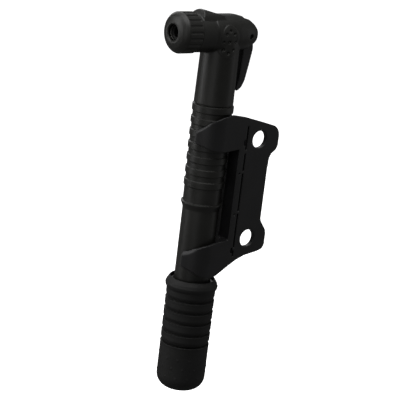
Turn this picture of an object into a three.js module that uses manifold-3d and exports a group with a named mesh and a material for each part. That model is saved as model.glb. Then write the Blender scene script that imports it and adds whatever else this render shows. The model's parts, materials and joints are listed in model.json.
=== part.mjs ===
// A bicycle mini pump in its frame bracket, in millimetres, +Z up along the barrel with the head at the top.
// The origin is on the back of the bracket plate, midway between its two bolt holes. The plate's back
// faces +Y, the valve mouth faces -X and the lever hangs down the +X side of the barrel.

import * as THREE from "three";
import { mergeVertices } from "three/addons/utils/BufferGeometryUtils.js";
import Module from "manifold-3d";

const wasm = await Module();
wasm.setup();

// Driving dimensions.
const gap = 0.3; // between pieces that touch
const around = 28; // facets round a large cylinder
const aroundSmall = 16; // facets round a small one
const boltSpacing = 64;
const boltHoleRadius = 5.5;
const boltLineToBarrel = 28; // barrel axis to the line of the bolt holes
const clipOuter = 15.4; // outer radius of the clips, and depth of the plate's front face
const plateThickness = 3.3;
const barrelRadius = 12.25; // at the shoulder; it tapers a little towards the lip
const lipZ = -9.7;
const lipTaper = 0.4;
const stemRadius = 11.5; // of the plain stretch below the lip
const boreRadius = 9.5;
const barrelBottom = -116.5;
const shoulderZ = 52.3; // where the barrel meets the head's neck
const spigotTop = 72.5;
const bandCount = 7;
const bandPitch = 7.9;
const bandRise = 0.65;
const firstBandZ = 49.9;
const headZ = 97; // height of the valve mouth's axis
const headRadius = 11.8;
const headDrop = 0.6; // of the head's shell below the mouth's axis
const collarRadius = 12.6;
const collarFront = -38;
const collarRear = -23.9;
const collarRibs = 20;
const socketStep = -19.4; // where the chuck's socket narrows to the plunger bore
const pinX = 15.2;
const pinZ = 95.7;
const camOffset = 1; // of the cam circle's centre from the pin, along +X and +Z
const camRadius = 5;
const leverHalfWidth = 4.4;
const gripRadius = 15.6;
const gripPitch = 7.35;
const firstLipZ = -73.3;
const capTop = -102.7;
const capBottom = -133.5;
const coreRadius = 13.6;
const coreBore = 11.8;
const rodRadius = 3;
const pistonBottom = 56; // lower face of the piston head at rest

const plateFrontY = -clipOuter;
const plateBackY = plateFrontY + plateThickness;

const finishes = {
  satinBlack: { color: 0x23221f, roughness: 0.5, metalness: 0 },
  clipBlack: { color: 0x2a282d, roughness: 0.45, metalness: 0 },
  gripRubber: { color: 0x1c1c1a, roughness: 0.75, metalness: 0 },
  sealRubber: { color: 0x191919, roughness: 0.65, metalness: 0 },
  innerPlastic: { color: 0x44443f, roughness: 0.55, metalness: 0 },
  steel: { color: 0xb9bbbd, roughness: 0.3, metalness: 1 },
};

// A closed three.js geometry as a solid, turned outwards if its profile ran the other way.
function solidOf(geometry) {
  const bare = geometry.index ? geometry.toNonIndexed() : geometry.clone();
  bare.deleteAttribute("normal");
  bare.deleteAttribute("uv");
  const merged = mergeVertices(bare, 1e-4);
  const vertProperties = merged.attributes.position.array;
  const triVerts = new Uint32Array(merged.index.array);
  const solid = new wasm.Manifold(new wasm.Mesh({ numProp: 3, vertProperties, triVerts }));
  if (solid.volume() >= 0) return solid;
  triVerts.reverse();
  return new wasm.Manifold(new wasm.Mesh({ numProp: 3, vertProperties, triVerts }));
}

function geometryOf(solid) {
  const mesh = solid.getMesh();
  const geometry = new THREE.BufferGeometry();
  geometry.setAttribute("position", new THREE.BufferAttribute(mesh.vertProperties, 3));
  geometry.setIndex(new THREE.BufferAttribute(mesh.triVerts, 1));
  return geometry;
}

function union(solids) {
  return solids.reduce((all, next) => all.add(next));
}

// Turns [radius, height] points round the Z axis. The profile closes on itself.
function turnZ(profile, segments = around) {
  const points = profile.concat([profile[0]]).map(([r, z]) => new THREE.Vector2(r, z));
  return solidOf(new THREE.LatheGeometry(points, segments).rotateX(Math.PI / 2));
}

// Turns [x, radius] points round the valve mouth's axis, which runs along X at height headZ.
function turnX(profile, segments = around) {
  const points = profile.concat([profile[0]]).map(([x, r]) => new THREE.Vector2(r, x));
  const lathe = new THREE.LatheGeometry(points, segments).rotateZ(-Math.PI / 2);
  return solidOf(lathe.translate(0, 0, headZ));
}

// A washer or tube between two heights on the Z axis.
function tubeZ(outer, inner, low, high, segments = around) {
  return turnZ([[inner, low], [outer, low], [outer, high], [inner, high]], segments);
}

function rodZ(radius, low, high, segments = aroundSmall) {
  return turnZ([[0, low], [radius, low], [radius, high], [0, high]], segments);
}

function rodX(radius, low, high, segments = aroundSmall) {
  return turnX([[low, 0], [low, radius], [high, radius], [high, 0]], segments);
}

// A cylinder along Y whose axis passes through (x, z).
function rodY(radius, x, z, low, high, segments = aroundSmall) {
  const cylinder = new THREE.CylinderGeometry(radius, radius, high - low, segments);
  return solidOf(cylinder.translate(x, (low + high) / 2, z));
}

function box(low, high) {
  const size = high.map((value, i) => value - low[i]);
  const middle = high.map((value, i) => (value + low[i]) / 2);
  return solidOf(new THREE.BoxGeometry(...size).translate(...middle));
}

// Extrudes an outline drawn in X and Z along Y.
function slabY(outline, low, high) {
  const shape = new THREE.Shape(outline.map(([x, z]) => new THREE.Vector2(x, z)));
  const slab = new THREE.ExtrudeGeometry(shape, { depth: high - low, bevelEnabled: false });
  return solidOf(slab.rotateX(Math.PI / 2).translate(0, high, 0));
}

// Extrudes an outline drawn in X and Y along Z.
function slabZ(outline, low, high) {
  const shape = new THREE.Shape(outline.map(([x, y]) => new THREE.Vector2(x, y)));
  const slab = new THREE.ExtrudeGeometry(shape, { depth: high - low, bevelEnabled: false });
  return solidOf(slab.translate(0, 0, low));
}

// Points on an arc round (cx, cy), from one angle to another in degrees.
function arc(cx, cy, radius, from, to, steps) {
  return Array.from({ length: steps + 1 }, (_, i) => {
    const angle = THREE.MathUtils.degToRad(from + ((to - from) * i) / steps);
    return [cx + radius * Math.cos(angle), cy + radius * Math.sin(angle)];
  });
}

// The outline of the plate and both clips, seen along Y: two arms on the left, two bolt ears on the right.
function bracketOutline() {
  const earZ = boltSpacing / 2;
  return [
    [-20, 29.2], [-20, 38.6], [-14.8, 38.6], [-8, 44.2], [-2, 46.9], [5, 48.2], [16, 46.4], [30, 42.8],
    ...arc(36.3, earZ + 1.6, 7.3, 65, 0, 4),
    [43.6, 27.4], [42.4, 24.8], [39.2, 22.4], [37.8, 19.6], [37.4, 14], [37.3, -20.8], [42.2, -27.4],
    [42.9, -30], [42.9, -37.8], [41.2, -40.4], [37, -41.7], [27, -43.4], [20.8, -45.9], [15.5, -48.9],
    [4.2, -55.9], [-6, -54.8], [-14.8, -49.4], [-20, -49.4],
    [-20, -39.6], [-14.8, -39.6], [-6, -35.4], [2.3, -33.4], [12.6, -32],
    [12.6, 26.4], [1, 25], [-8.4, 26.2], [-14.8, 29.2],
  ];
}

function bracket() {
  const low = -60;
  const high = 52;
  const looseBore = barrelRadius + bandRise + gap; // the upper clip closes over the bands
  const snugBore = stemRadius + gap; // the lower clip closes on the plain stretch
  const wallX = 13.8;
  const wallThickness = 2.4;
  const wallEndY = 7.5;
  const tipAngle = 197;
  const rimAngle = 290; // past this angle the clips are as low as the wall behind the plate
  const [wallLow, wallHigh] = [-44, 41];
  const ring = (from, to, steps, bottom, top) =>
    slabZ([...arc(0, 0, clipOuter, from, to, steps), ...arc(0, 0, 11, to, from, steps)], bottom, top);
  let body = union([
    ring(tipAngle, rimAngle + 2, 16, low, high),
    ring(rimAngle, 360, 12, wallLow, wallHigh),
    box([0, plateFrontY, low], [46, plateBackY, high]),
    box([9, plateFrontY, wallLow], [wallX + wallThickness, -8, wallHigh]),
    box([wallX, -9, wallLow], [wallX + wallThickness, wallEndY, wallHigh]),
  ])
    .subtract(rodZ(snugBore, low - 1, -20, around))
    .subtract(rodZ(looseBore, -20, high + 1, around))
    .subtract(rodZ(wallX, -30, 24, around))
    .intersect(slabY(bracketOutline(), -20, 12));
  for (const side of [-1, 1]) {
    const z = (side * boltSpacing) / 2;
    body = body.subtract(rodY(boltHoleRadius, boltLineToBarrel, z, -20, -8, 32));
  }
  // A groove down the plate, bridged in four places, and two sprue dimples beside it.
  const grooves = [[41, 25.6], [23.6, 12.2], [10.8, -13.8], [-15.2, -37.6], [-39.4, -43.5]];
  for (const [top, bottom] of grooves) {
    body = body.subtract(box([17, -20, bottom], [18.3, plateFrontY + 1.7, top]));
  }
  for (const z of [10.7, -15.7]) {
    body = body.subtract(rodY(0.7, 14.8, z, -20, plateFrontY + 0.8, 10));
  }
  return body;
}

// The outline of the head behind the neck, seen along Y, down to the ears round the lever pin.
const rearOutline = [
  [-2, 85.5], [12, 86.2], [17, 88.6], [20.6, 91.6], [21.9, 94.4], [22.2, 96.6], [21.4, 99.4], [19.6, 102.2],
  [15.6, 105.7], [11.8, 107.2], [6, 108.1], [-2, 108.2],
];

// The same seen along Z: the sides draw in towards the ears.
const rearPlan = [
  [-2, -12], [4, -11.8], [10, -11], [15, -9.9], [22.2, -8.3], [22.2, 8.3], [15, 9.9], [10, 11], [4, 11.8],
  [-2, 12],
];

function headShell() {
  const spigot = rodX(9.6, -34.3, -20, around);
  const tee = turnX([
    [-23.4, 0], [-23.4, 11.3], [-23, 11.5], [-11.4, 11.5], [-11, headRadius], [2, headRadius], [2, 0],
  ]).translate(0, 0, -headDrop);
  const rear = rodX(headRadius, -2, 24, around)
    .translate(0, 0, -headDrop)
    .intersect(slabY(rearOutline, -13, 13))
    .intersect(slabZ(rearPlan, 80, 112));
  const bump = slabY(
    [[-20.6, 100], [-20.6, 107.3], [-18.4, 111], [-16.5, 110.9], [-4, 107.9], [-4, 100]],
    -5,
    5,
  ).intersect(rodX(14, -24, 0, around));
  const neck = turnZ([
    [0, shoulderZ + gap], [barrelRadius, shoulderZ + gap], [11.85, headZ - 12], [11.85, headZ - 2],
    [0, headZ - 2],
  ]);
  return union([spigot, tee, rear, bump, neck]);
}

// A low oval on each side of the head with a ring of dimples, a plain stand-in for a moulded badge.
function addBadges(shell) {
  const [x, z, halfWidth, halfHeight, rise, dimples] = [-2.9, 92.9, 6.8, 10.2, 0.45, 8];
  const outline = arc(0, 0, 1, 0, 345, 23).map(([u, v]) => [x + halfWidth * u, z + halfHeight * v]);
  const sideRadius = headRadius + rise;
  const skin = rodX(sideRadius, -12, 10, around)
    .translate(0, 0, -headDrop)
    .add(rodZ(sideRadius, 78, headZ - 2, around));
  let body = shell.add(skin.intersect(slabY(outline, -14, 14)));
  const spots = arc(0, 0, 1, 0, 360 - 360 / dimples, dimples - 1).map(([u, v]) => [x + 4.4 * u, z + 6.8 * v]);
  for (const [spotX, spotZ] of [[x, z], ...spots]) {
    const fall = Math.abs(spotZ - headZ + headDrop);
    const off = spotZ > headZ - 2 ? fall : Math.min(Math.abs(spotX), fall);
    const y = Math.sqrt(sideRadius ** 2 - off ** 2);
    body = body.subtract(rodY(0.9, spotX, spotZ, y - 0.7, 14, 10));
    body = body.subtract(rodY(0.9, spotX, spotZ, -14, 0.7 - y, 10));
  }
  return body;
}

function headHousing() {
  const slotHalf = leverHalfWidth + 0.4;
  const slot = [
    [8.7, 104.2], [8.7, 91.5], [13, 86], [13, 78], [30, 78], [30, 116], [12, 116], [12, 104.2],
  ];
  return addBadges(headShell())
    .subtract(rodX(7.3, -36, socketStep, around))
    .subtract(rodX(5.3, socketStep - 1, 12.5))
    .subtract(slabY(slot, -slotHalf, slotHalf))
    .subtract(rodY(1.6, pinX, pinZ, -14, 14))
    .subtract(rodZ(2.2, 82, headZ))
    .subtract(rodZ(6.3, 77, 83, around))
    .subtract(rodZ(10.9, shoulderZ - 1, 78, around));
}

function collar() {
  const ribBase = collarRadius - 0.55;
  let body = turnX([
    [collarFront, 5.3], [collarFront, 5.9], [-37.4, 8.2], [-36.3, 10.6], [-35.2, 12.1],
    [-34, collarRadius], [-33.4, collarRadius], [-33.4, ribBase], [collarRear, ribBase],
    [collarRear, 9.9], [-36.4, 9.9], [-36.4, 4.3],
  ]);
  const ribHalf = 1.2;
  for (let i = 0; i < collarRibs; i++) {
    const rib = new THREE.BoxGeometry(9, ribHalf * 2, 1.3);
    rib.translate((-33.5 + collarRear - 0.5) / 2, 0, collarRadius - 0.65);
    rib.rotateX((i * 2 * Math.PI) / collarRibs).translate(0, 0, headZ);
    body = body.add(solidOf(rib));
  }
  return body;
}

function thrustWasher() {
  return turnX([[-36.1, 4.6], [-36.1, 9.4], [-35.3, 9.4], [-35.3, 4.6]]);
}

function valveGrommet() {
  return turnX([[-35, 4], [-35, 7], [-20.9, 7], [-20.9, 3.2], [-34.2, 3.2]]);
}

// Pushed forward by the cam, the plunger squeezes the grommet round the valve. Air enters at its waist.
function plunger() {
  const rearFace = pinX + camOffset - camRadius - gap;
  const body = turnX([
    [-20.6, 1.5], [-20.6, 6.9], [-19.7, 6.9], [-19.7, 5], [-4, 5], [-4, 3.6], [4, 3.6], [4, 5],
    [5.2, 5], [5.2, 3.9], [7.4, 3.9], [7.4, 5], [rearFace, 5], [rearFace, 0], [3, 0], [3, 1.5],
  ]);
  return body.subtract(rodZ(1.3, headZ - 6, headZ + 6, 12));
}

function plungerRing() {
  return turnX([
    [5.5, 4.5], [5.9, 4.2], [6.7, 4.2], [7.1, 4.5], [7.1, 4.9], [6.7, 5.15], [5.9, 5.15], [5.5, 4.9],
  ]);
}

function lever() {
  const outline = [
    ...arc(pinX + camOffset, pinZ + camOffset, camRadius, 0, 212, 16),
    [13.6, 90.6], [15.2, 87], [14.9, 76], [14.4, 68], [13.1, 63], [12.9, 61.6], [13.5, 60.8], [14.8, 61.1],
    [17.2, 63.2], [19.2, 67.2], [21.1, 77], [22.8, 87],
  ];
  const pinHole = rodY(1.6, pinX, pinZ, -10, 10);
  return slabY(outline, -leverHalfWidth, leverHalfWidth).subtract(pinHole);
}

function checkValveDisc() {
  return rodZ(5.2, 78.9, 80.1, around);
}

function valveRetainer() {
  return turnZ([[1.2, 74.3], [10.5, 74.3], [10.5, 77.6], [5.9, 77.6], [5.9, 78.6], [1.2, 78.6]]);
}

function barrel() {
  const radiusAt = (z) => barrelRadius - (lipTaper * (shoulderZ - z)) / (shoulderZ - lipZ);
  const bands = [];
  for (let i = 0; i < bandCount; i++) {
    const z = firstBandZ - i * bandPitch;
    const radius = radiusAt(z);
    if (i > 0) bands.push([radius, z + 2.3]);
    bands.push([radius + bandRise, z + (i > 0 ? 1.9 : 2.4)], [radius + bandRise, z - 1.9], [radius, z - 2.3]);
  }
  return turnZ([
    [boreRadius, spigotTop], [10.6, spigotTop], [10.6, shoulderZ], ...bands,
    [radiusAt(lipZ), lipZ + 0.1], [12.95, lipZ], [12.95, lipZ - 0.9], [stemRadius, lipZ - 4.2],
    [stemRadius, barrelBottom], [boreRadius, barrelBottom],
  ]);
}

function gland() {
  const flangeZ = barrelBottom - gap;
  return turnZ([
    [rodRadius + gap, -106.8], [9.2, -106.8], [9.2, flangeZ], [11.3, flangeZ], [11.3, -118.3], [4.9, -118.3],
    [4.9, -115.8], [rodRadius + gap, -115.8],
  ]);
}

// Heights of the piston's pieces are above its lower face.
function abovePiston(profile) {
  return turnZ(profile.map(([r, height]) => [r, pistonBottom + height]));
}

function pistonHead() {
  return abovePiston([
    [2.3, 0], [8.8, 0], [9.15, 0.4], [9.15, 3.9], [7.3, 3.9], [7.3, 7.9], [9.15, 7.9], [9.15, 10.6],
    [8.8, 11], [2.3, 11],
  ]);
}

function pistonSeal() {
  return abovePiston([
    [7.6, 5], [8.2, 4.2], [9, 4.3], [9.4, 5.2], [9.4, 6.6], [9, 7.5], [8.2, 7.6], [7.6, 6.8],
  ]);
}

function pistonRod() {
  return turnZ([
    [0, pistonBottom + 14.3], [2, pistonBottom + 14.3], [2, pistonBottom - gap],
    [rodRadius, pistonBottom - gap], [rodRadius, -122.7], [1.7, -122.7], [1.7, -110], [0, -110],
  ]);
}

function handleCore() {
  return turnZ([
    [coreBore, -61.5], [coreRadius, -61.5], [coreRadius, -124.5], [1.7, -124.5], [1.7, -123],
    [rodRadius + gap, -123], [rodRadius + gap, -120.5], [coreBore, -120.5],
  ]);
}

// The grip looks like a stack of cups: each ring tucks into the lip of the one below it.
function gripSleeve() {
  const inner = coreRadius + gap;
  const rings = [];
  for (let i = 0; i < 4; i++) {
    const z = firstLipZ - i * gripPitch;
    rings.push([gripRadius, z + 3.4], [14.4, z + 0.5], [14.4, z]);
    rings.push([gripRadius + 0.1, z], [gripRadius, z - 1.4]);
  }
  return turnZ([
    [inner, -59.6], [14.5, -59.4], [15.9, -61.6], [16.7, -63.8], [16.4, -65.4], [gripRadius, -67],
    ...rings, [gripRadius, capTop + 3.2], [14.5, capTop + gap], [inner, capTop + gap],
  ]);
}

function endCap() {
  const inner = coreRadius + gap;
  const dome = arc(6.55, capBottom + 9, 9, 0, -90, 7);
  return turnZ([
    [inner, capTop], [gripRadius + 0.1, capTop], [15.55, capTop - 1.2], ...dome, [0, capBottom],
    [0, -129.8], [6, -129.8], [6, -124.9], [inner, -124.9],
  ]);
}

function handleScrew() {
  return turnZ([[0, -112], [1.4, -112], [1.4, -124.8], [3.4, -124.8], [3.4, -126.6], [2.9, -127.2],
    [1.6, -127.2], [1.2, -125.8], [0, -125.8]], 16);
}

const pump = new THREE.Group();
pump.position.set(-boltLineToBarrel, -plateBackY, 0);

function place(name, solid, finish) {
  const mesh = new THREE.Mesh(geometryOf(solid), new THREE.MeshStandardMaterial(finishes[finish]));
  mesh.name = name;
  pump.add(mesh);
}

place("bracket", bracket(), "clipBlack");
place("head_housing", headHousing(), "satinBlack");
place("collar", collar(), "satinBlack");
place("thrust_washer", thrustWasher(), "innerPlastic");
place("valve_grommet", valveGrommet(), "sealRubber");
place("plunger", plunger(), "innerPlastic");
place("plunger_o_ring", plungerRing(), "sealRubber");
place("lever", lever(), "clipBlack");
place("lever_pin", rodY(1.3, pinX, pinZ, -8.9, 8.9, 20), "steel");
place("check_valve_disc", checkValveDisc(), "sealRubber");
place("valve_retainer", valveRetainer(), "innerPlastic");
place("head_gasket", tubeZ(10.5, 8, 72.8, 74), "sealRubber");
place("barrel", barrel(), "satinBlack");
place("gland", gland(), "innerPlastic");
place("rod_wiper", tubeZ(4.6, rodRadius + 0.25, -118, -116.1, aroundSmall), "sealRubber");
place("top_out_bumper", tubeZ(7, rodRadius + gap, -106.5, -102.5, aroundSmall), "sealRubber");
place("piston_head", pistonHead(), "innerPlastic");
place("piston_seal", pistonSeal(), "sealRubber");
place("piston_nut", tubeZ(3.6, 2.3, pistonBottom + 11.3, pistonBottom + 13.8, 6), "steel");
place("piston_rod", pistonRod(), "steel");
place("handle_core", handleCore(), "satinBlack");
place("bottom_bumper", tubeZ(11.5, rodRadius + gap, -120.2, -118.8, 32), "sealRubber");
place("grip_sleeve", gripSleeve(), "gripRubber");
place("end_cap", endCap(), "gripRubber");
place("handle_screw", handleScrew(), "steel");

const part = new THREE.Group();
part.add(pump);
export default part;
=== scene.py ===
import json
import math

import bmesh
import bpy
from mathutils import Matrix, Vector


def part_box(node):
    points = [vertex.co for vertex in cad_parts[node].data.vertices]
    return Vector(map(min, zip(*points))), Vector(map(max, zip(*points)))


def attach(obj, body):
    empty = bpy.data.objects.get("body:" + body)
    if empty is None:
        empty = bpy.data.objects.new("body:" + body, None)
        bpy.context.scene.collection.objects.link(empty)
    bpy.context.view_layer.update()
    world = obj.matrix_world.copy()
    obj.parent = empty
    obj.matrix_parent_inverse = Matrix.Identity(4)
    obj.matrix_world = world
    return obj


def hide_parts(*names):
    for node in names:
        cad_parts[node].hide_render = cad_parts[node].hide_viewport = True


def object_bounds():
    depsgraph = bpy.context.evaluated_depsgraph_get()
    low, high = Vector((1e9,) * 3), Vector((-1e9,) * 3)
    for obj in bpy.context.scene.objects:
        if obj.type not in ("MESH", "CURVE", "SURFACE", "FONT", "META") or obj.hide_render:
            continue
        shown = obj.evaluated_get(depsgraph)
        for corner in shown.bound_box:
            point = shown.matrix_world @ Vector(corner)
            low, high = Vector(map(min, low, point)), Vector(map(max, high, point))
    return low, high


# A bicycle mini pump clipped in its frame bracket. Each piece is shaped in millimetres, with X and Y
# from the barrel's axis and Z from the plate's middle, and is then brought into the frame's metres.

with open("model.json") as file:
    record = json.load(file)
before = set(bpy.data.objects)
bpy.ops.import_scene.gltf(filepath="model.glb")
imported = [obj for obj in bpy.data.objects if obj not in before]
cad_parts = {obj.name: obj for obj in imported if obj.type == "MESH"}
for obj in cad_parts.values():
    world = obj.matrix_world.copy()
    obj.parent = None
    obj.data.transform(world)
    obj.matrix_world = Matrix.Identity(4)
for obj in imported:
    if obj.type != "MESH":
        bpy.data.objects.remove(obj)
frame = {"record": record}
cadLow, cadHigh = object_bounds()
record = frame["record"]
bodyOf = {node: body for body, nodes in record["behaviour"]["bodies"].items() for node in nodes}

mm = 0.001
barrelLow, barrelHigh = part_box("barrel")
barrelAxis = Vector(((barrelLow.x + barrelHigh.x) / 2, (barrelLow.y + barrelHigh.y) / 2, 0))
toFrame = Matrix.Translation(barrelAxis) @ Matrix.Scale(mm, 4)


def span(node):
    low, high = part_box(node)
    return (low - barrelAxis) / mm, (high - barrelAxis) / mm


collarLow, collarHigh = span("collar")
pinLow, pinHigh = span("lever_pin")
chuckZ = (collarLow.z + collarHigh.z) / 2  # height of the valve mouth's axis
pinX = (pinLow.x + pinHigh.x) / 2
pinZ = (pinLow.z + pinHigh.z) / 2

cameraLook = {
    "azimuth": -40,
    "elevation": 15,
    "distance": 1.05,
    "roll": 6.92,  # degrees, so that the pump leans to the right
    "lens": 151.9,
    "aimAcross": -1.0,  # mm to the right of the barrel's axis
    "aimZ": -9.4,
}


def addCamera(look):
    turn = math.radians(look["azimuth"])
    lift = math.radians(look["elevation"])
    roll = math.radians(look["roll"])
    back = Vector((math.sin(turn) * math.cos(lift), -math.cos(turn) * math.cos(lift), math.sin(lift)))
    right = Vector((math.cos(turn), math.sin(turn), 0))
    up = back.cross(right)
    across = right * math.cos(roll) + up * math.sin(roll)
    upright = up * math.cos(roll) - right * math.sin(roll)
    aim = barrelAxis + (right * look["aimAcross"] + Vector((0, 0, look["aimZ"]))) * mm
    camera = bpy.data.objects.new("camera", bpy.data.cameras.new("camera"))
    camera.data.lens = look["lens"]
    camera.data.clip_start = 0.01
    axes = Matrix((across, upright, back)).transposed().to_4x4()
    camera.matrix_world = Matrix.Translation(aim + back * look["distance"]) @ axes
    bpy.context.scene.collection.objects.link(camera)
    bpy.context.scene.camera = camera


addCamera(cameraLook)
print("camera set")

# Shaping tools.


def arc(x, y, radius, start, end, turns):
    angles = [math.radians(start + (end - start) * k / turns) for k in range(turns + 1)]
    return [(x + radius * math.cos(a), y + radius * math.sin(a)) for a in angles]


def rounded(corners, turns=4):
    # a corner is (a, b), or (a, b, radius) where it is rounded off
    outline = []
    for k, corner in enumerate(corners):
        point = Vector(corner[:2])
        toLast = Vector(corners[k - 1][:2]) - point
        toNext = Vector(corners[(k + 1) % len(corners)][:2]) - point
        half = toLast.angle(toNext) / 2
        radius = corner[2] if len(corner) == 3 else 0
        if not radius or half > 1.56:
            outline.append(point)
            continue
        reach = min(radius / math.tan(half), 0.48 * toLast.length, 0.48 * toNext.length)
        middle = toLast.normalized() + toNext.normalized()
        centre = point + middle.normalized() * reach / math.cos(half)
        first = point + toLast.normalized() * reach - centre
        final = point + toNext.normalized() * reach - centre
        for step in range(turns + 1):
            outline.append(centre + first.slerp(final, step / turns).normalized() * first.length)
    return outline


def withRows(outline, gap):
    # extra points along the long stretches, so that they can be dented or raised
    points = []
    for k, point in enumerate(outline):
        following = outline[(k + 1) % len(outline)]
        pieces = max(1, round((following - point).length / gap))
        points += [point.lerp(following, j / pieces) for j in range(pieces)]
    return points


def pieceFrom(name, shape):
    bmesh.ops.recalc_face_normals(shape, faces=shape.faces)
    mesh = bpy.data.meshes.new(name)
    shape.to_mesh(mesh)
    shape.free()
    piece = bpy.data.objects.new(name, mesh)
    bpy.context.scene.collection.objects.link(piece)
    return piece


directions = {
    "Z": Matrix.Identity(4),
    "X": Matrix.Rotation(math.radians(90), 4, "Y"),
    "Y": Matrix.Rotation(math.radians(-90), 4, "X"),
}


def turned(name, corners, steps=96, along="Z", at=(0, 0, 0), rowGap=None, adjust=None):
    # corners are (radius, distance along the axis); adjust gives the radius anew for each point and angle
    outline = rounded(corners)
    if rowGap:
        outline = withRows(outline, rowGap)
    shape = bmesh.new()
    columns = []
    for k in range(steps):
        angle = math.tau * k / steps
        column = []
        for radius, distance in outline:
            if adjust and radius > 0:
                radius = adjust(radius, distance, angle)
            place = (radius * math.cos(angle), radius * math.sin(angle), distance)
            column.append(shape.verts.new(place))
        columns.append(column)
    for k, column in enumerate(columns):
        following = columns[(k + 1) % steps]
        for j in range(len(outline)):
            shape.faces.new((column[j], following[j], following[j - 1], column[j - 1]))
    bmesh.ops.remove_doubles(shape, verts=shape.verts, dist=1e-4)
    loose = [edge for edge in shape.edges if not edge.link_faces]
    bmesh.ops.delete(shape, geom=loose, context="EDGES")
    shape.transform(Matrix.Translation(at) @ directions[along])
    return pieceFrom(name, shape)


def prism(name, corners, low, high, along="Y"):
    outline = rounded(corners)
    places = [(a, low, b) if along == "Y" else (a, b, low) for a, b in outline]
    shape = bmesh.new()
    face = shape.faces.new([shape.verts.new(place) for place in places])
    pulled = bmesh.ops.extrude_face_region(shape, geom=[face])["geom"]
    pull = Vector((0, high - low, 0)) if along == "Y" else Vector((0, 0, high - low))
    bmesh.ops.translate(shape, vec=pull, verts=[g for g in pulled if isinstance(g, bmesh.types.BMVert)])
    return pieceFrom(name, shape)


def block(name, low, high):
    corners = [(low[0], low[1]), (high[0], low[1]), (high[0], high[1]), (low[0], high[1])]
    return prism(name, corners, low[2], high[2], "Z")


def rod(name, radius, low, high, along="Z", at=(0, 0, 0), steps=64, rim=0):
    return turned(name, [(0, low), (radius, low, rim), (radius, high, rim), (0, high)], steps, along, at)


def settle(piece):
    graph = bpy.context.evaluated_depsgraph_get()
    mesh = bpy.data.meshes.new_from_object(piece.evaluated_get(graph))
    piece.modifiers.clear()
    piece.data = mesh


def combine(piece, others, operation):
    for other in others:
        modifier = piece.modifiers.new(operation.lower(), "BOOLEAN")
        modifier.operation = operation
        modifier.solver = "MANIFOLD"
        modifier.object = other
        settle(piece)
        bpy.data.objects.remove(other)
    return piece


def soften(piece, grain, passes):
    # one closed skin with its edges eased, as they leave a mould
    skin = piece.modifiers.new("skin", "REMESH")
    skin.mode = "VOXEL"
    skin.voxel_size = grain
    ease = piece.modifiers.new("ease", "SMOOTH")
    ease.factor = 0.5
    ease.iterations = passes
    settle(piece)
    return piece


def fit(piece, node, material, crisp=False):
    piece.data.transform(toFrame)
    piece.data.materials.clear()
    piece.data.materials.append(material)
    piece.data.shade_smooth()
    if crisp:
        weigh = piece.modifiers.new("weigh", "WEIGHTED_NORMAL")
        weigh.keep_sharp = True
        settle(piece)
    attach(piece, bodyOf[node])
    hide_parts(node)
    return piece


# Finishes. Colours are linear.

finishLook = {
    "pumpPlastic": {
        "dark": (0.0076, 0.0076, 0.0064), "light": (0.011, 0.011, 0.0094), "worn": (0.03, 0.03, 0.027),
        "roughness": 0.42, "spread": 0.1, "specular": 0.42,
        "grain": 5200, "depth": 0.012, "streak": 0.6,
    },
    "bracketNylon": {
        "dark": (0.0056, 0.0055, 0.006), "light": (0.0086, 0.0085, 0.0093), "worn": (0.03, 0.029, 0.032),
        "roughness": 0.46, "spread": 0.1, "specular": 0.42,
        "grain": 4200, "depth": 0.016, "streak": 0.0,
    },
    "leverNylon": {
        "dark": (0.0068, 0.0065, 0.0074), "light": (0.0105, 0.01, 0.0115), "worn": (0.036, 0.034, 0.038),
        "roughness": 0.4, "spread": 0.1, "specular": 0.45,
        "grain": 4200, "depth": 0.014, "streak": 0.0,
    },
    "gripRubber": {
        "dark": (0.0052, 0.0052, 0.005), "light": (0.0085, 0.0085, 0.0082), "worn": (0.022, 0.022, 0.021),
        "roughness": 0.66, "spread": 0.12, "specular": 0.32,
        "grain": 3600, "depth": 0.03, "streak": 0.0,
    },
    "sealRubber": {
        "dark": (0.0035, 0.0035, 0.0035), "light": (0.006, 0.006, 0.006), "worn": (0.012, 0.012, 0.012),
        "roughness": 0.62, "spread": 0.1, "specular": 0.25,
        "grain": 4000, "depth": 0.012, "streak": 0.0,
    },
    "innerAcetal": {
        "dark": (0.16, 0.16, 0.15), "light": (0.21, 0.21, 0.2), "worn": (0.3, 0.3, 0.29),
        "roughness": 0.4, "spread": 0.1, "specular": 0.5,
        "grain": 4800, "depth": 0.01, "streak": 0.3,
    },
}


def addNode(material, kind, **values):
    made = material.node_tree.nodes.new(kind)
    for name, value in values.items():
        if name in made.inputs:
            made.inputs[name].default_value = value
        else:
            setattr(made, name, value)
    return made


def noise(material, coordinates, scale, detail):
    made = addNode(material, "ShaderNodeTexNoise", Scale=scale, Detail=detail)
    material.node_tree.links.new(coordinates, made.inputs["Vector"])
    return made.outputs["Fac"]


def ramp(material, source, low, high, start, end):
    made = addNode(material, "ShaderNodeMapRange")
    material.node_tree.links.new(source, made.inputs["Value"])
    for name, value in (("From Min", low), ("From Max", high), ("To Min", start), ("To Max", end)):
        made.inputs[name].default_value = value
    return made.outputs["Result"]


def blended(material, share, first, second):
    made = addNode(material, "ShaderNodeMix", data_type="RGBA")
    links = material.node_tree.links
    links.new(share, made.inputs[0])
    for socket, colour in ((made.inputs[6], first), (made.inputs[7], second)):
        if isinstance(colour, tuple):
            socket.default_value = (*colour, 1)
        else:
            links.new(colour, socket)
    return made.outputs[2]


def stretched(material, coordinates, scale):
    made = addNode(material, "ShaderNodeMapping", Scale=scale)
    material.node_tree.links.new(coordinates, made.inputs["Vector"])
    return made.outputs["Vector"]


def added(material, first, second):
    made = addNode(material, "ShaderNodeMath", operation="ADD")
    material.node_tree.links.new(first, made.inputs[0])
    material.node_tree.links.new(second, made.inputs[1])
    return made.outputs[0]


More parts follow.
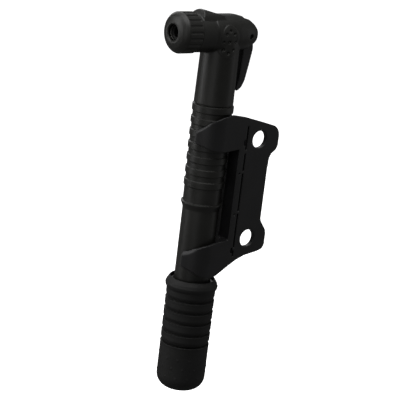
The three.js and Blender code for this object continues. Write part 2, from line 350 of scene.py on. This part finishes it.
def moulded(name, look):
    # polymer from a mould: cloudy tone, a fine spark texture, rubbed edges and faint draw marks
    material = bpy.data.materials.new(name)
    material.use_nodes = True
    links = material.node_tree.links
    shader = material.node_tree.nodes["Principled BSDF"]
    shader.inputs["Specular IOR Level"].default_value = look["specular"]
    place = addNode(material, "ShaderNodeTexCoord").outputs["Object"]
    cloud = noise(material, place, 70, 5)
    speck = noise(material, place, look["grain"] / 3, 2)
    tone = blended(material, ramp(material, cloud, 0.35, 0.68, 0, 1), look["dark"], look["light"])
    edge = addNode(material, "ShaderNodeNewGeometry").outputs["Pointiness"]
    rubbed = addNode(material, "ShaderNodeMath", operation="MULTIPLY")
    links.new(ramp(material, edge, 0.53, 0.62, 0, 0.5), rubbed.inputs[0])
    links.new(ramp(material, speck, 0.3, 0.7, 0.5, 1), rubbed.inputs[1])
    links.new(blended(material, rubbed.outputs[0], tone, look["worn"]), shader.inputs["Base Color"])
    half = look["spread"] / 2
    shine = ramp(material, cloud, 0.3, 0.7, look["roughness"] - half, look["roughness"] + half)
    shine = added(material, shine, ramp(material, speck, 0.3, 0.7, -0.03, 0.03))
    if look["streak"]:
        drawn = noise(material, stretched(material, place, (900, 900, 25)), 1, 3)
        reach = 0.05 * look["streak"]
        shine = added(material, shine, ramp(material, drawn, 0.3, 0.7, -reach, reach))
    links.new(shine, shader.inputs["Roughness"])
    spark = noise(material, place, look["grain"], 3)
    bump = addNode(material, "ShaderNodeBump", Strength=0.6, Distance=look["depth"] * mm)
    links.new(spark, bump.inputs["Height"])
    links.new(bump.outputs["Normal"], shader.inputs["Normal"])
    return material


steelLook = {
    "rod": {"dark": (0.5, 0.5, 0.51), "light": (0.66, 0.66, 0.67), "roughness": 0.22, "rings": 2600},
    "pin": {"dark": (0.035, 0.035, 0.037), "light": (0.07, 0.07, 0.072), "roughness": 0.38, "rings": 1800},
}


def drawnSteel(name, look):
    material = bpy.data.materials.new(name)
    material.use_nodes = True
    links = material.node_tree.links
    shader = material.node_tree.nodes["Principled BSDF"]
    shader.inputs["Metallic"].default_value = 1
    place = addNode(material, "ShaderNodeTexCoord").outputs["Object"]
    lines = noise(material, stretched(material, place, (60, 60, look["rings"])), 1, 4)
    cloud = noise(material, place, 110, 4)
    links.new(blended(material, cloud, look["dark"], look["light"]), shader.inputs["Base Color"])
    shine = ramp(material, lines, 0.3, 0.7, look["roughness"] - 0.06, look["roughness"] + 0.1)
    links.new(shine, shader.inputs["Roughness"])
    bump = addNode(material, "ShaderNodeBump", Strength=0.5, Distance=0.006 * mm)
    links.new(lines, bump.inputs["Height"])
    links.new(bump.outputs["Normal"], shader.inputs["Normal"])
    return material


pumpPlastic = moulded("pumpPlastic", finishLook["pumpPlastic"])
bracketNylon = moulded("bracketNylon", finishLook["bracketNylon"])
leverNylon = moulded("leverNylon", finishLook["leverNylon"])
gripRubber = moulded("gripRubber", finishLook["gripRubber"])
sealRubber = moulded("sealRubber", finishLook["sealRubber"])
innerAcetal = moulded("innerAcetal", finishLook["innerAcetal"])
rodSteel = drawnSteel("rodSteel", steelLook["rod"])
pinSteel = drawnSteel("pinSteel", steelLook["pin"])
print("finishes mixed")

# Bracket: one moulding with a plate, two clips and a wall.

bracketLow, bracketHigh = span("bracket")
bracketLook = {
    "thickness": 3.3,
    "snugBore": 11.8,  # lower clip, on the plain barrel
    "looseBore": 13.2,  # upper clip, over the bands
    "windowBore": 13.8,
    "reliefs": [(13.6, -44, -25), (14, 36, 60)],  # radius, foot and top of each clip's undercut edge
    "tipAngle": 197,
    "rimAngle": 290,  # past this the clips are as low as the wall
    "wall": 2.4,
    "wallLow": -44,
    "wallHigh": 41,
    "boltHole": 5.5,
    "holeRim": 0.3,
    "grooveX": 17.65,
    "grooveWidth": 1.3,
    "grooveDepth": 2.2,
    "grooves": [(25.6, 41), (12.2, 23.6), (-13.8, 10.8), (-37.6, -15.2), (-43.5, -39.4)],  # foot and top
    "dimples": [(14.8, 10.7), (14.8, -15.7)],
    "dimpleRadius": 0.8,
    "dimpleDepth": 1.2,
    "pocketSides": (15.4, 17.1),
    "pocketDepth": 2,
    "pockets": [(28.6, 32.2), (-41, -37.5)],  # foot and top
    "bevels": [
        # three points on the slope that each clip's tip is cut to
        ((-14.73, -4.5, 35.9), (-8.83, -12.61, 43.8), (-12.62, -3.86, 39.2)),
        ((-14.73, -4.5, -42.3), (-8.83, -12.61, -36.9), (-12.62, -3.86, -38.9)),
    ],
    "grain": 0.34,
    "passes": 4,
}


def bracketOutline():
    return [
        # upper clip, from its tip
        (-20, 29.2), (-20, 38.6), (-14.8, 38.6, 1), (-8, 44.2, 8), (-2, 46.9, 8), (5, 48.2, 12),
        # plate with its two ears
        (16, 46.4, 20), (30, 42.8, 3), *arc(36.3, 33.6, 7.3, 65, 0, 8), (43.6, 27.4, 2), (42.4, 24.8, 1.5),
        (39.2, 22.4, 2), (37.8, 19.6, 2), (37.4, 14, 5), (37.3, -20.8, 4), (42.2, -27.4, 2), (42.9, -30, 2),
        (42.9, -37.8, 2), (41.2, -40.4, 1.5), (37, -41.7, 5), (27, -43.4, 6), (20.8, -45.9, 8),
        # lower clip
        (15.5, -48.9, 8), (4.2, -55.9, 6), (-6, -54.8, 6), (-14.8, -49.4, 1), (-20, -49.4), (-20, -39.6),
        (-14.8, -39.6, 1), (-6, -35.4, 12), (2.3, -33.4, 12),
        # window
        (12.6, -32, 0.8), (12.6, 26.4, 0.8), (1, 25, 12), (-8.4, 26.2, 12), (-14.8, 29.2, 1),
    ]


def slope(name, first, second, third):
    # a thick slab whose lower face passes through three points
    first, second, third = Vector(first), Vector(second), Vector(third)
    up = (second - first).cross(third - first).normalized()
    along = (second - first).normalized()
    slab = block(name, (-20, -20, 0), (20, 20, 12))
    place = Matrix((along, up.cross(along), up)).transposed().to_4x4()
    slab.data.transform(Matrix.Translation(first) @ place)
    return slab


def boltHoles():
    boxes = [o["box_m"] for o in record["physics"]["openings"] if o["name"].endswith("bolt_hole")]
    middles = [(Vector(low) + Vector(high)) / 2 - barrelAxis for low, high in boxes]
    return [(middle.x / mm, middle.z / mm) for middle in middles]


def makeBracket(look):
    outer = -bracketLow.y
    front = -outer
    back = front + look["thickness"]
    low, high = bracketLow.z - 3, bracketHigh.z + 3
    wallX = look["windowBore"]
    wallEnd = wallX + look["wall"]

    def ring(start, end, bottom, top):
        steps = round((end - start) / 3)
        edge = arc(0, 0, outer, start, end, steps) + arc(0, 0, 11, end, start, steps)
        return prism("ring", edge, bottom, top, "Z")

    body = ring(look["tipAngle"], look["rimAngle"] + 2, low, high)
    combine(body, [
        ring(look["rimAngle"], 360, look["wallLow"], look["wallHigh"]),
        block("plate", (0, front, low), (46, back, high)),
        block("web", (9, front, look["wallLow"]), (wallEnd, -8, look["wallHigh"])),
        block("wall", (wallX, -9, look["wallLow"]), (wallEnd, bracketHigh.y, look["wallHigh"])),
    ], "UNION")
    ahead = front - 5
    grooveLeft = look["grooveX"] - look["grooveWidth"] / 2
    grooveRight = look["grooveX"] + look["grooveWidth"] / 2
    grooves = [block("groove", (grooveLeft, ahead, foot), (grooveRight, front + look["grooveDepth"], top))
               for foot, top in look["grooves"]]
    dimples = [rod("dimple", look["dimpleRadius"], ahead, front + look["dimpleDepth"], "Y", (x, 0, z))
               for x, z in look["dimples"]]
    pocketLeft, pocketRight = look["pocketSides"]
    pockets = [block("pocket", (pocketLeft, ahead, foot), (pocketRight, front + look["pocketDepth"], top))
               for foot, top in look["pockets"]]
    bevels = [slope("bevel", *points) for points in look["bevels"]]
    reliefs = [rod("relief", radius, foot, top, steps=128) for radius, foot, top in look["reliefs"]]
    rim = look["holeRim"]
    hole = look["boltHole"]
    holes = [
        turned("hole", [
            (0, front - 3), (hole + 3 + rim, front - 3), (hole + rim, front), (hole, front + rim),
            (hole, back - rim), (hole + rim, back), (hole + rim, back + 3), (0, back + 3),
        ], 96, "Y", (x, 0, z))
        for x, z in boltHoles()
    ]
    combine(body, [
        rod("snug", look["snugBore"], low - 1, -20, steps=128),
        rod("loose", look["looseBore"], -21, high + 1, steps=128),
        rod("window", wallX, -30, 24, steps=128),
        *grooves, *dimples, *pockets, *holes, *bevels, *reliefs,
    ], "DIFFERENCE")
    combine(body, [prism("outline", bracketOutline(), -20, 12)], "INTERSECT")
    body.name = "frameBracket"
    return soften(body, look["grain"], look["passes"])


fit(makeBracket(bracketLook), "bracket", bracketNylon)
print("bracket moulded")

# Head: a T with the chuck spigot in front, a neck below and ears round the lever pin behind.

headLow, headHigh = span("head_housing")
headLook = {
    "radius": 11.8,
    "front": 11.5,
    "drop": 0.6,  # of the shell's axis below the mouth's
    "spigot": 9.6,
    "socket": 7.3,
    "socketEnd": -19.4,
    "plungerBore": 5.3,
    "neckTop": 11.85,
    "neckFoot": 12.25,
    "neckBore": 10.9,
    "slotHalf": 4.8,
    "padHalf": 8,
    "padRound": 7.6,  # radius over the pad's back
    "badge": {
        "x": -2.9, "z": 92.9, "halfWidth": 6.8, "halfHeight": 10.2, "rise": 0.4,
        "dimples": 8, "ring": (4.4, 6.8), "dimple": 1.0, "depth": 1.1,
    },
    "pinHole": 1.6,
    "grain": 0.32,
    "passes": 5,
}


def rearOutline():
    return [
        (-2, 85.5), (12, 86.2, 3), (17, 88.6, 3), (20.6, 91.6, 3), (21.9, 94.4, 3), (22.2, 96.6, 3),
        (21.4, 99.4, 3), (19.6, 102.2, 4), (15.6, 105.7, 6), (11.8, 107.2, 6), (6, 108.1, 6), (-2, 108.2),
    ]


def makeBadge(look):
    # a low oval that follows the side of the head and neck
    badge = look["badge"]
    radius = look["radius"] + badge["rise"]
    skin = rod("badge", radius, -12, 8, "X", (0, 0, chuckZ - look["drop"]), 160)
    combine(skin, [rod("badgeNeck", radius, 78, chuckZ - 2, steps=160)], "UNION")
    outline = [(badge["x"] + badge["halfWidth"] * u, badge["z"] + badge["halfHeight"] * v)
               for u, v in arc(0, 0, 1, 0, 354, 59)]
    combine(skin, [prism("badgeOval", outline, -14, 14)], "INTERSECT")
    return skin


def badgeDimples(look):
    badge = look["badge"]
    radius = look["radius"] + badge["rise"]
    count = badge["dimples"]
    spots = [(0, 0), *((badge["ring"][0] * u, badge["ring"][1] * v)
                       for u, v in arc(0, 0, 1, 0, 360 - 360 / count, count - 1))]
    for dx, dz in spots:
        x, z = badge["x"] + dx, badge["z"] + dz
        fall = abs(z - chuckZ + look["drop"])
        off = fall if z > chuckZ - 2 else min(abs(x), fall)
        y = math.sqrt(radius ** 2 - off ** 2) - badge["depth"]
        for start, end in ((y, 14), (-14, -y)):
            yield rod("dimple", badge["dimple"], start, end, "Y", (x, 0, z), 24)


def makeHead(look):
    mouth = (0, 0, chuckZ)
    middle = (0, 0, chuckZ - look["drop"])
    radius, front = look["radius"], look["front"]
    tee = turned("headMoulding", [
        (0, -23.4), (front - 0.2, -23.4), (front, -23, 0.3), (front, -11.6, 0.2), (radius, -11.1, 0.3),
        (radius, 2), (0, 2),
    ], 160, "X", middle)
    rear = turned("rear", [
        (0, -2), (radius, -2), (radius, 6, 20), (11.3, 12, 20), (10, 18, 12), (8.7, 21.4, 2),
        (7.6, 22.3, 1), (0, 22.3),
    ], 160, "X", middle)
    combine(rear, [prism("rearSide", rearOutline(), -13, 13)], "INTERSECT")
    padSide = [
        (-20.6, 100), (-20.6, 107.3, 0.5), (-18.4, 111, 1.4), (-16.5, 110.9, 3), (-4, 107.9), (-4, 100),
    ]
    pad = prism("pad", padSide, -look["padHalf"], look["padHalf"])
    crown = (0, 0, headHigh.z - look["padRound"] + 0.2)
    combine(pad, [rod("crown", look["padRound"], -24, 0, "X", crown, 160)], "INTERSECT")
    neck = turned("neck", [
        (0, headLow.z), (look["neckFoot"], headLow.z, 0.3), (look["neckFoot"], headLow.z + 1.2),
        (look["neckTop"], 85), (look["neckTop"], chuckZ - 2), (0, chuckZ - 2),
    ], 160)
    spigot = turned("spigot", [
        (0, headLow.x), (look["spigot"], headLow.x, 0.5), (look["spigot"], -20), (0, -20),
    ], 160, "X", mouth)
    combine(tee, [rear, pad, neck, spigot, makeBadge(look)], "UNION")
    slotSide = [(8.7, 104.2), (8.7, 91.5), (13, 86), (13, 78), (30, 78), (30, 116), (12, 116), (12, 104.2)]
    combine(tee, [
        rod("socket", look["socket"], headLow.x - 2, look["socketEnd"], "X", mouth, 96),
        rod("plungerBore", look["plungerBore"], look["socketEnd"] - 1, 12.5, "X", mouth, 96),
        prism("slot", slotSide, -look["slotHalf"], look["slotHalf"]),
        rod("pinHole", look["pinHole"], -14, 14, "Y", (pinX, 0, pinZ), 48),
        rod("airway", 2.2, 82, chuckZ, steps=32),
        rod("valveRoom", 6.3, 77, 83),
        rod("neckBore", look["neckBore"], headLow.z - 2, 78, steps=128),
        *badgeDimples(look),
    ], "DIFFERENCE")
    return soften(tee, look["grain"], look["passes"])


fit(makeHead(headLook), "head_housing", pumpPlastic)
print("head moulded")

# Chuck collar: a domed front with the valve mouth, a plain band, then ribs open to the rear.

collarLook = {
    "band": 12.6, "mouth": 4.3, "bore": 9.9, "ribs": 20, "ribHalf": 0.3, "groove": 0.5, "ribFront": -33.5,
}


def ribbed(radius, distance, angle):
    look = collarLook
    if radius < look["band"] - 0.25 or distance < look["ribFront"]:
        return radius
    place = abs((angle * look["ribs"] / math.tau + 0.5) % 1 - 0.5)
    return radius - look["groove"] * min(1, max(0, (place - look["ribHalf"]) / 0.06))


def makeCollar(look):
    front, rear = collarLow.x, collarHigh.x
    band = look["band"]
    inner = front + 1.7
    step = 0.06  # the ribs end in a short step
    return turned("chuckCollar", [
        # the mouth's cone and the dome round it
        (look["mouth"], inner), (5.1, front + 0.4, 0.4), (5.5, front, 0.3), (6.6, front, 0.8),
        (9.4, front + 0.9, 3), (11.2, front + 2.2, 2), (12.3, front + 3.6, 1), (band, front + 4.4, 0.6),
        (band, look["ribFront"] - step), (band, look["ribFront"] + step), (band, rear - 0.5),
        (band - 0.2, rear), (look["bore"], rear), (look["bore"], inner),
    ], 320, "X", (0, 0, chuckZ), adjust=ribbed)


fit(makeCollar(collarLook), "collar", pumpPlastic, crisp=True)

# Barrel: raised bands, then a lip, then the plain stretch that the lower clip holds.

barrelLook = {
    "radius": 12.25, "taper": 0.4, "stem": 11.5, "bore": 9.5, "spigot": 10.6, "shoulder": 52.3,
    "bands": 7, "firstBand": 49.9, "pitch": 7.9, "bandRise": 0.65, "bandHalf": 2.1,
    "lipRadius": 12.95, "lipZ": -9.7,
}


def makeBarrel(look):
    low, high = span("barrel")
    shoulder, lipZ, stem = look["shoulder"], look["lipZ"], look["stem"]

    def sleeve(z):
        return look["radius"] - look["taper"] * (shoulder - z) / (shoulder - lipZ)

    bands = []
    for k in range(look["bands"]):
        middle = look["firstBand"] - k * look["pitch"]
        top = middle + look["bandHalf"] + (0.3 if k == 0 else 0)
        foot = middle - look["bandHalf"]
        radius = sleeve(middle)
        if k:
            bands.append((radius, top + 0.15, 0.2))
        raised = radius + look["bandRise"]
        bands += [(raised, top - 0.2, 0.3), (raised, foot + 0.2, 0.35), (radius, foot - 0.2, 0.3)]
    return turned("barrelTube", [
        (look["bore"], high.z, 0.3), (look["spigot"], high.z, 0.3), (look["spigot"], shoulder), *bands,
        (sleeve(lipZ), lipZ + 0.12, 0.2), (look["lipRadius"], lipZ, 0.25),
        (look["lipRadius"], lipZ - 0.9, 0.5), (stem, lipZ - 4.2, 3), (stem, low.z, 0.5),
        (look["bore"], low.z, 0.4),
    ], 160)


fit(makeBarrel(barrelLook), "barrel", pumpPlastic, crisp=True)
print("collar and barrel turned")

# Lever: a plate that hangs from its cam down the back of the neck.

leverLook = {"camOffset": 1, "camRadius": 5, "pinHole": 1.6, "grain": 0.3, "passes": 5}


def makeLever(look):
    low, high = span("lever")
    cam = arc(pinX + look["camOffset"], pinZ + look["camOffset"], look["camRadius"], 0, 212, 48)
    side = [
        *cam, (13.6, 90.6, 1), (15.2, 87, 4), (14.9, 76, 12), (14.4, 68, 8), (13.1, 63, 2), (12.9, 61.6, 0.4),
        (13.5, 60.8, 0.4), (14.8, 61.1, 1), (17.2, 63.2, 4), (19.2, 67.2, 6), (21.1, 77, 20), (22.8, 87, 10),
    ]
    plate = prism("lockLever", side, low.y, high.y)
    combine(plate, [rod("pinHole", look["pinHole"], -10, 10, "Y", (pinX, 0, pinZ), 48)], "DIFFERENCE")
    return soften(plate, look["grain"], look["passes"])


def makePin():
    return rod("leverPin", (pinHigh.x - pinLow.x) / 2, pinLow.y, pinHigh.y, "Y", (pinX, 0, pinZ), 48, 0.25)


fit(makeLever(leverLook), "lever", leverNylon)
fit(makePin(), "lever_pin", pinSteel, crisp=True)
print("lever hung")

# Grip: a rubber sleeve like a stack of cups under a flared rim, and an end cap with raised dots.

gripLook = {
    "radius": 15.55, "rim": 16.65, "mouth": 14.3, "inside": 13.9,
    "rings": 4, "firstLip": -73.3, "pitch": 7.35, "cup": 2.9, "taper": 0.9, "tuck": 14.2, "lip": 15.65,
}
capLook = {
    "radius": 15.5, "lip": 15.65, "dome": 9, "inside": 13.9, "steps": 260, "rowGap": 0.42,
    "dots": 13, "dotRows": [-111, -117.2, -123.4], "firstDot": 219.5, "dotRadius": 0.72, "dotHeight": 0.32,
    "seamAngle": 166.15, "seamDepth": 0.4, "seamHalf": 0.7,  # the mould's parting line, in degrees
}


def makeGrip(look):
    low, high = span("grip_sleeve")
    radius = look["radius"]
    foot = radius - look["taper"]
    rings = []
    for k in range(look["rings"]):
        z = look["firstLip"] - k * look["pitch"]
        rings += [(radius, z + look["cup"], 2), (foot, z + 0.85, 0.3), (look["tuck"], z + 0.6, 0.15),
                  (look["tuck"], z + 0.05, 0.12), (look["lip"], z, 0.15), (radius, z - 1.2, 1)]
    return turned("gripSleeve", [
        (look["inside"], high.z - 0.2, 0.1), (look["mouth"], high.z, 0.2), (15.9, high.z - 2.4, 0.8),
        (look["rim"], high.z - 4.4, 0.6), (look["rim"] - 0.25, high.z - 5.9, 0.6),
        (radius, high.z - 7.4, 1.2), *rings, (radius, low.z + look["cup"], 2), (foot, low.z + 0.7, 0.3),
        (look["tuck"], low.z + 0.4, 0.1), (look["tuck"], low.z), (look["inside"], low.z),
    ], 160)


def dotted(radius, distance, angle):
    look = capLook
    if radius < look["inside"] + 0.3:
        return radius
    raised = 0
    for row, z in enumerate(look["dotRows"]):
        across = (math.degrees(angle) - look["firstDot"]) * look["dots"] / 360 + 0.5 * row
        away = abs((across + 0.5) % 1 - 0.5) * math.tau * radius / look["dots"]
        reach = math.hypot(away, distance - z) / look["dotRadius"]
        raised += look["dotHeight"] * (1 - reach * reach) if reach < 1 else 0
    onSeam = abs(math.degrees(angle) - look["seamAngle"]) < look["seamHalf"]
    return radius + raised - (look["seamDepth"] if onSeam else 0)


def makeCap(look):
    low, high = span("end_cap")
    dome = look["dome"]
    flat = look["radius"] - dome
    curve = arc(flat, low.z + dome, dome, 0, -90, 24)
    return turned("gripEndCap", [
        (look["inside"], high.z), (look["lip"], high.z, 0.2), (look["radius"], high.z - 1.3, 0.6), *curve,
        (0, low.z), (0, -129.8), (6, -129.8), (6, -124.9), (look["inside"], -124.9),
    ], look["steps"], rowGap=look["rowGap"], adjust=dotted)


fit(makeGrip(gripLook), "grip_sleeve", gripRubber, crisp=True)
fit(makeCap(capLook), "end_cap", gripRubber)
print("grip moulded")

# Inside the chuck and head.

insideLook = {
    "grommetMouth": 3.2, "washer": (4.6, 9.4), "ring": (4.2, 5.15), "disc": 5.2, "gasket": (8, 10.5),
}


def ringBetween(name, node, bore, outside, along="Z", at=(0, 0, 0), rim=0.15):
    low, high = span(node)
    start, end = (low.x, high.x) if along == "X" else (low.z, high.z)
    corners = [(bore, start, rim), (outside, start, rim), (outside, end, rim), (bore, end, rim)]
    return turned(name, corners, 96, along, at)


def makeDisc(look):
    low, high = span("check_valve_disc")
    return rod("checkDisc", look["disc"], low.z, high.z, rim=0.3)


def makeGrommet(look):
    low, high = span("valve_grommet")
    mouth = look["grommetMouth"]
    return turned("valveGrommet", [
        (mouth + 0.8, low.x, 0.2), (7, low.x, 0.4), (7, high.x, 0.2), (mouth, high.x, 0.2),
        (mouth, low.x + 0.8, 0.3),
    ], 96, "X", (0, 0, chuckZ))


def makePlunger():
    low, high = span("plunger")
    body = turned("camPlunger", [
        (1.5, low.x), (6.9, low.x, 0.2), (6.9, -19.7, 0.2), (5, -19.7), (5, -4, 0.2), (3.6, -4), (3.6, 4),
        (5, 4, 0.2), (5, 5.2), (3.9, 5.2), (3.9, 7.4), (5, 7.4), (5, high.x, 0.4), (0, high.x), (0, 3),
        (1.5, 3),
    ], 96, "X", (0, 0, chuckZ))
    return combine(body, [rod("airway", 1.3, chuckZ - 6, chuckZ + 6, steps=32)], "DIFFERENCE")


def makeRetainer():
    low, high = span("valve_retainer")
    return turned("valveRetainer", [
        (1.2, low.z, 0.2), (10.5, low.z, 0.3), (10.5, high.z - 1, 0.3), (5.9, high.z - 1), (5.9, high.z, 0.2),
        (1.2, high.z, 0.2),
    ])


mouthAxis = (0, 0, chuckZ)
fit(makeGrommet(insideLook), "valve_grommet", sealRubber, crisp=True)
washer = ringBetween("thrustWasher", "thrust_washer", *insideLook["washer"], "X", mouthAxis)
fit(washer, "thrust_washer", innerAcetal, crisp=True)
fit(makePlunger(), "plunger", innerAcetal, crisp=True)
plungerRing = ringBetween("plungerRing", "plunger_o_ring", *insideLook["ring"], "X", mouthAxis, rim=0.45)
fit(plungerRing, "plunger_o_ring", sealRubber)
fit(makeDisc(insideLook), "check_valve_disc", sealRubber, crisp=True)
fit(makeRetainer(), "valve_retainer", innerAcetal, crisp=True)
gasket = ringBetween("headGasket", "head_gasket", *insideLook["gasket"])
fit(gasket, "head_gasket", sealRubber, crisp=True)
print("chuck filled")

# Inside the barrel and handle.

driveLook = {
    "rod": 3, "rodBore": 3.3, "core": 13.6, "coreBore": 11.8,
    "wiper": (3.25, 4.6), "topBumper": (3.3, 7), "bottomBumper": (3.3, 11.5),
}


def makeGland(look):
    low, high = span("gland")
    flange = low.z + 1.5
    return turned("rodGland", [
        (look["rodBore"], high.z, 0.2), (9.2, high.z, 0.5), (9.2, flange), (11.3, flange, 0.2),
        (11.3, low.z, 0.5), (4.9, low.z, 0.3), (4.9, low.z + 2.5), (look["rodBore"], low.z + 2.5),
    ])


def makeRod(look):
    low, high = span("piston_rod")
    step = span("piston_head")[0].z - 0.3
    return turned("pistonRod", [
        (0, high.z), (2, high.z, 0.3), (2, step), (look["rod"], step, 0.3), (look["rod"], low.z, 0.2),
        (1.7, low.z), (1.7, -110), (0, -110),
    ])


def makePiston():
    low, high = span("piston_head")
    z = low.z
    return turned("pistonHead", [
        (2.3, z), (8.8, z, 0.3), (9.15, z + 0.4, 0.2), (9.15, z + 3.9, 0.2), (7.3, z + 3.9), (7.3, z + 7.9),
        (9.15, z + 7.9, 0.2), (9.15, high.z - 0.4, 0.2), (8.8, high.z, 0.3), (2.3, high.z),
    ])


def makeSeal():
    low, high = span("piston_seal")
    return turned("pistonSeal", [
        (7.6, low.z + 0.8, 0.3), (8.2, low.z, 0.3), (9, low.z + 0.1, 0.3), (9.4, low.z + 1, 0.4),
        (9.4, high.z - 1, 0.4), (9, high.z - 0.1, 0.3), (8.2, high.z, 0.3), (7.6, high.z - 0.8, 0.3),
    ])


def makeCore(look):
    low, high = span("handle_core")
    floor = low.z + 4
    return turned("handleCore", [
        (look["coreBore"], high.z, 0.3), (look["core"], high.z, 0.3), (look["core"], low.z), (1.7, low.z),
        (1.7, low.z + 1.5), (look["rodBore"], low.z + 1.5), (look["rodBore"], floor, 0.2),
        (look["coreBore"], floor),
    ], 128)


def makeScrew():
    low, high = span("handle_screw")
    seat = -124.8
    return turned("handleScrew", [
        (0, high.z), (1.4, high.z, 0.3), (1.4, seat), (3.4, seat, 0.2), (3.4, seat - 1.8, 0.4),
        (2.9, low.z, 0.3), (1.6, low.z, 0.2), (1.2, seat - 1), (0, seat - 1),
    ], 64)


def makeNut():
    low, high = span("piston_nut")
    hexagon = [(x, z, 0.3) for x, z in arc(0, 0, 3.6, 0, 300, 5)]
    nut = prism("pistonNut", hexagon, low.z, high.z, "Z")
    return combine(nut, [rod("thread", 2.3, low.z - 1, high.z + 1, steps=48)], "DIFFERENCE")


fit(makeGland(driveLook), "gland", innerAcetal, crisp=True)
fit(ringBetween("rodWiper", "rod_wiper", *driveLook["wiper"]), "rod_wiper", sealRubber, crisp=True)
topBumper = ringBetween("topBumper", "top_out_bumper", *driveLook["topBumper"], rim=0.6)
fit(topBumper, "top_out_bumper", sealRubber, crisp=True)
fit(makePiston(), "piston_head", innerAcetal, crisp=True)
fit(makeSeal(), "piston_seal", sealRubber)
fit(makeNut(), "piston_nut", rodSteel, crisp=True)
fit(makeRod(driveLook), "piston_rod", rodSteel, crisp=True)
fit(makeCore(driveLook), "handle_core", pumpPlastic, crisp=True)
bottomBumper = ringBetween("bottomBumper", "bottom_bumper", *driveLook["bottomBumper"], rim=0.4)
fit(bottomBumper, "bottom_bumper", sealRubber, crisp=True)
fit(makeScrew(), "handle_screw", rodSteel, crisp=True)
print("piston and handle filled")

# Studio: a pale floor below the handle's full stroke, a pale surround and soft lights.

studioLook = {
    "floorDrop": 0.16,  # below the pump's foot, so that the handle can draw down
    "floorSize": 12,
    "surround": 5.5,
    "glow": 0.125,
    "lights": [
        # azimuth and elevation of the light from the pump, distance, width, height, watts
        ("leftBox", -124, 18, 1.3, 0.5, 1.3, 7.5),
        ("frontBox", -60, 12, 1.6, 0.9, 1.4, 3),
        ("topBox", -60, 78, 1.2, 1.3, 1.3, 14),
        ("rightBox", 60, 8, 1.5, 0.5, 1.3, 0.9),
        ("backBox", 158, 32, 1.5, 0.8, 1.0, 5),
    ],
}


def paleMaterial(name, glow):
    material = bpy.data.materials.new(name)
    material.use_nodes = True
    shader = material.node_tree.nodes["Principled BSDF"]
    shader.inputs["Base Color"].default_value = (0.9, 0.9, 0.9, 1)
    shader.inputs["Roughness"].default_value = 0.9
    shader.inputs["Emission Color"].default_value = (1, 1, 1, 1)
    shader.inputs["Emission Strength"].default_value = glow
    return material


def onlySeen(piece):
    # the camera sees it, and the black plastic doesn't mirror it
    piece.visible_glossy = False
    piece.visible_diffuse = False
    piece.visible_shadow = False


def addStudio(look):
    floorShape = bmesh.new()
    bmesh.ops.create_grid(floorShape, x_segments=8, y_segments=8, size=look["floorSize"] / 2)
    bmesh.ops.translate(floorShape, vec=(0, 0, cadLow.z - look["floorDrop"]), verts=floorShape.verts)
    floor = pieceFrom("floor", floorShape)
    floor.data.materials.append(paleMaterial("paleFloor", 1.0))
    surroundShape = bmesh.new()
    bmesh.ops.create_uvsphere(surroundShape, u_segments=64, v_segments=32, radius=look["surround"])
    surround = pieceFrom("surround", surroundShape)
    surround.data.shade_smooth()
    surround.data.materials.append(paleMaterial("paleSurround", 1.1))
    for piece in (floor, surround):
        onlySeen(piece)

    world = bpy.data.worlds.new("studioGlow")
    world.use_nodes = True
    world.node_tree.nodes["Background"].inputs["Color"].default_value = (1, 1, 1, 1)
    world.node_tree.nodes["Background"].inputs["Strength"].default_value = look["glow"]
    bpy.context.scene.world = world

    middle = (cadLow + cadHigh) / 2
    for name, azimuth, elevation, distance, width, height, watts in look["lights"]:
        turn, lift = math.radians(azimuth), math.radians(elevation)
        away = Vector((math.sin(turn) * math.cos(lift), -math.cos(turn) * math.cos(lift), math.sin(lift)))
        lamp = bpy.data.objects.new(name, bpy.data.lights.new(name, "AREA"))
        lamp.data.shape = "RECTANGLE"
        lamp.data.size = width
        lamp.data.size_y = height
        lamp.data.energy = watts
        lamp.location = middle + away * distance
        lamp.rotation_euler = away.to_track_quat("Z", "Y").to_euler()
        bpy.context.scene.collection.objects.link(lamp)
    bpy.context.scene.view_settings.view_transform = "Standard"


addStudio(studioLook)
print("studio lit")
